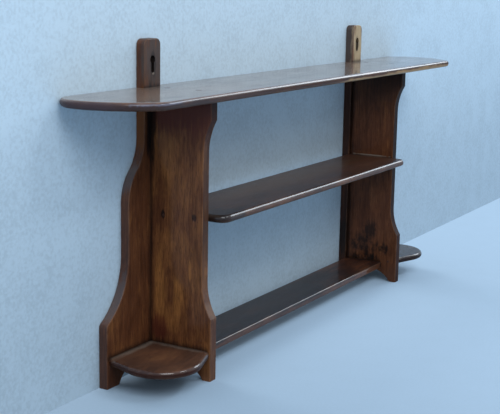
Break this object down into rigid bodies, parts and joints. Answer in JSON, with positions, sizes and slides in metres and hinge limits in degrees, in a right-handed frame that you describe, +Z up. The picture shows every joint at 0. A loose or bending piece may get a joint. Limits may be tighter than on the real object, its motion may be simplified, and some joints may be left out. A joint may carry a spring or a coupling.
{
  "type": "wall shelf",
  "caption": "Long dark wooden wall shelf with shaped uprights, shelves between them, round corner shelves outside and keyholed back boards to hang it by.",
  "frame": {"origin": "middle of the bounding box on the plane that the feet stand on", "axes": "+X along the wall to the right, +Y to the wall, +Z up; the wall is the plane Y = 0.068 m"},
  "size_m": [1.062, 0.136, 0.4655],
  "materials": {
    "stained_wood": "dark stain, waxed",
    "plug_wood": "end grain, waxed",
    "wood_filler": "dark filling wax",
    "screw_steel": "old dull steel",
    "nail_iron": "dark iron"
  },
  "bodies": {
    "root": {"top_shelf": "stained_wood", "middle_shelf": "stained_wood", "bottom_shelf": "stained_wood", "left_upright": "stained_wood", "right_upright": "stained_wood", "left_back_board": "stained_wood", "right_back_board": "stained_wood", "left_corner_shelf": "stained_wood", "right_corner_shelf": "stained_wood", "top_plugs": "plug_wood", "middle_nail_fillers": "wood_filler", "bottom_nail_fillers": "wood_filler", "corner_nail_fillers": "wood_filler", "top_screws": "screw_steel", "back_screws": "screw_steel", "corner_back_nails": "nail_iron", "middle_nails": "nail_iron", "bottom_nails": "nail_iron", "corner_nails": "nail_iron"}
  },
  "joints": []
}
